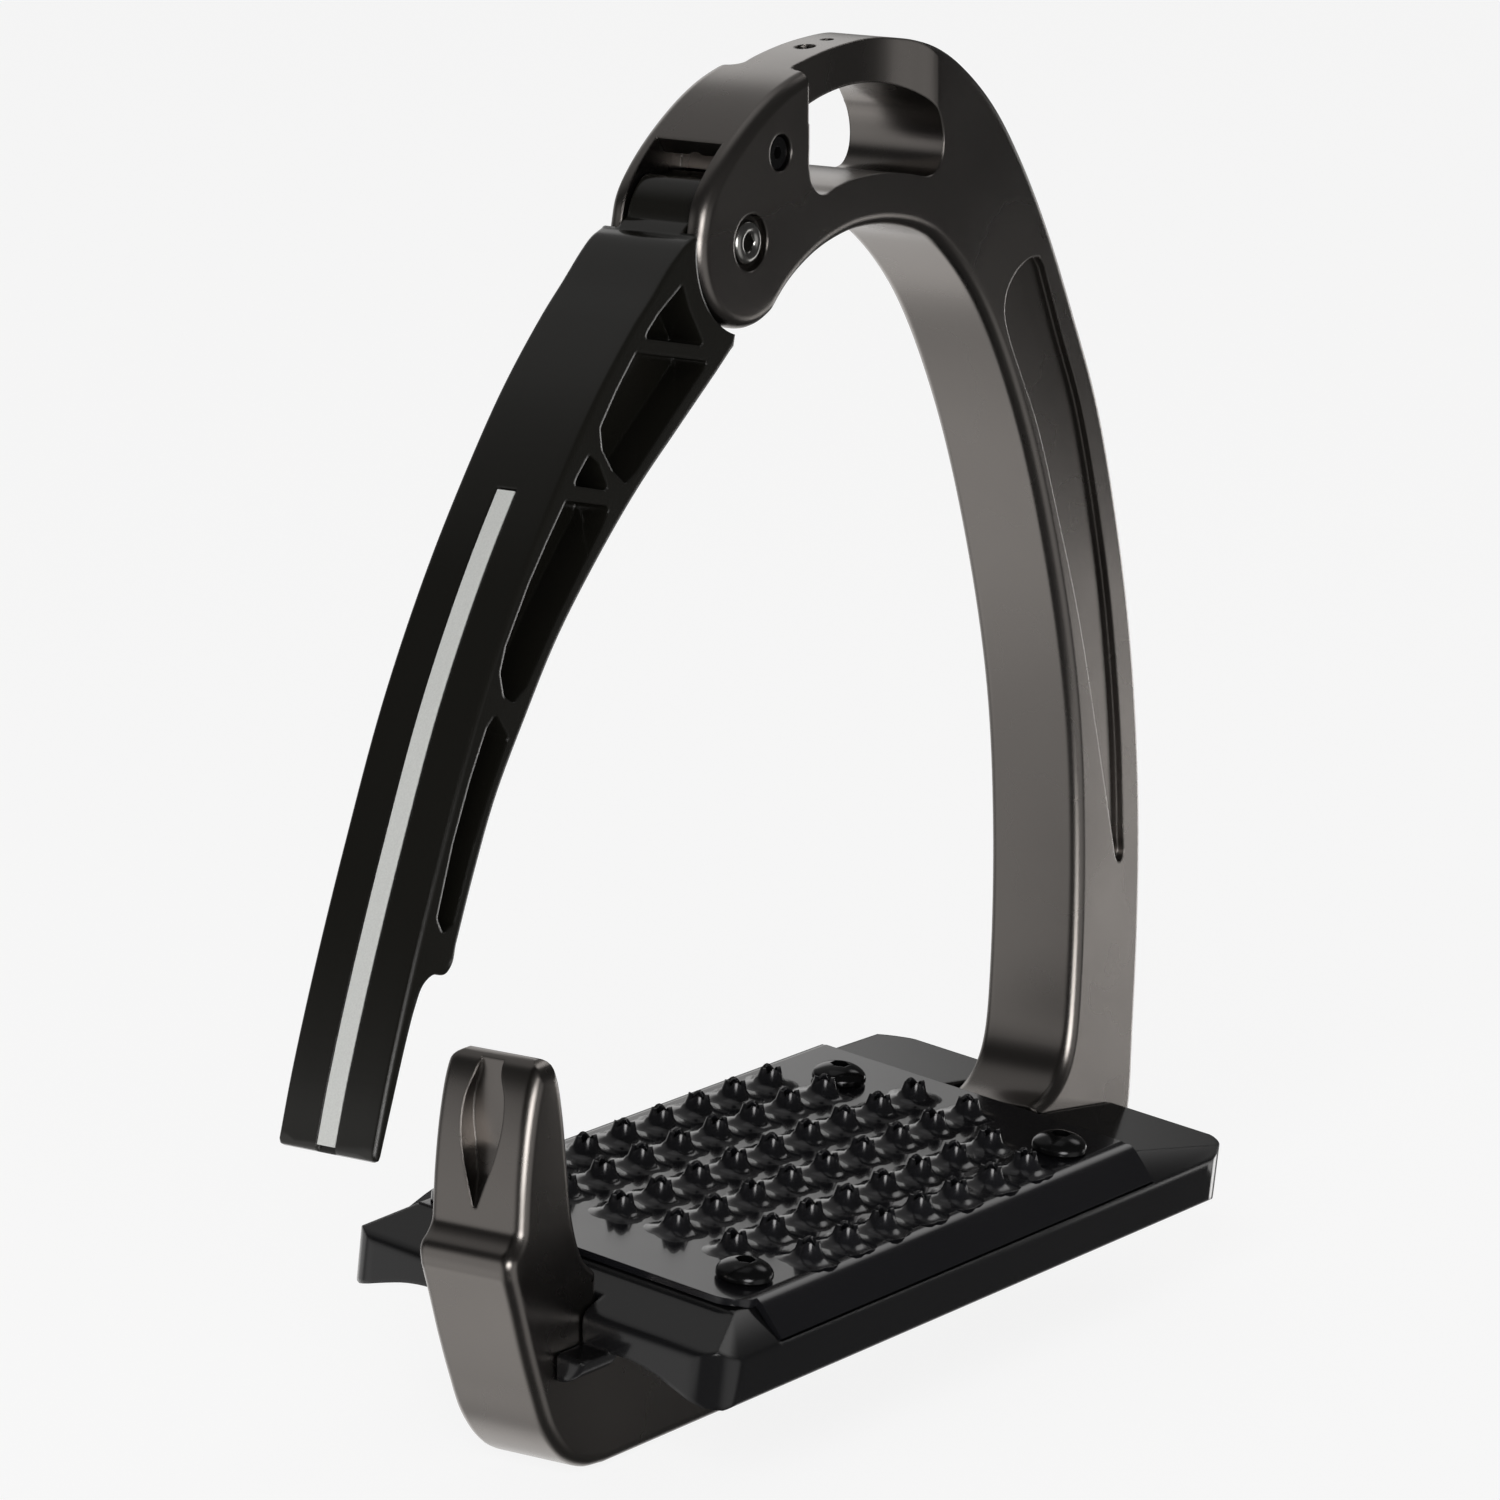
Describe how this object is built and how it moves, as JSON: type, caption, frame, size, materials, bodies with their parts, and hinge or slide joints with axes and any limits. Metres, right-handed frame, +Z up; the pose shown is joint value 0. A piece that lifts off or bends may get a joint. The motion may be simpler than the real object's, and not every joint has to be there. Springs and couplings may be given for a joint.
{
  "type": "stirrup iron",
  "caption": "Safety stirrup iron with a hinged side arm that swings open, a leather slot at the top and a toothed grip plate on a leaning tread.",
  "frame": {"origin": "on the flat underside of the keel, midway across the foot opening and midway front to back", "axes": "+Z up towards the leather slot, +X across the foot opening towards the fixed side, -Y to the front, where the tread leans down"},
  "size_m": [0.1807, 0.0629, 0.1822],
  "materials": {
    "frame_alloy": "warm gunmetal anodised, satin",
    "arm_polymer": "glossy black, reinforced polymer",
    "tread_polymer": "glossy black",
    "plate_metal": "glossy black coated sheet steel",
    "black_steel": "blackened, polished",
    "bright_steel": "turned, bright",
    "insert_brass": "machined",
    "bronze": "sintered bronze",
    "reflective_tape": "light grey, fine grained, light returning"
  },
  "bodies": {
    "iron": {"frame": "frame_alloy", "hinge_pin": "bright_steel", "hinge_pin_screw": "bright_steel", "thrust_washer_front": "bright_steel", "thrust_washer_back": "bright_steel", "detent_spring": "bright_steel", "tension_screw": "black_steel", "lock_screw": "black_steel", "cheek_screw": "black_steel", "tread_body": "tread_polymer", "grip_plate": "plate_metal", "plate_screw_front_left": "black_steel", "plate_screw_front_right": "black_steel", "plate_screw_back_left": "black_steel", "plate_screw_back_right": "black_steel", "plate_insert_front_left": "insert_brass", "plate_insert_front_right": "insert_brass", "plate_insert_back_left": "insert_brass", "plate_insert_back_right": "insert_brass", "tread_bolt_left": "black_steel", "tread_bolt_right": "black_steel", "tread_insert_left": "insert_brass", "tread_insert_right": "insert_brass"},
    "arm": {"opening_arm": "arm_polymer", "reflective_strip": "reflective_tape", "bushing_front": "bronze", "bushing_back": "bronze"},
    "plunger": {"detent_plunger": "bright_steel"}
  },
  "joints": [
    {"name": "arm_hinge", "type": "hinge", "parent": "iron", "child": "arm", "pos_m": [-0.0212, 0, 0.1587], "axis": [0, 1, 0], "range_deg": [-13.7, 42]},
    {"name": "plunger_slide", "type": "slide", "parent": "iron", "child": "plunger", "axis": [0.9318, 0, 0.363], "range_m": [0, 0.0009], "stiffness_N_per_m": 800, "springref_m": -0.001}
  ]
}
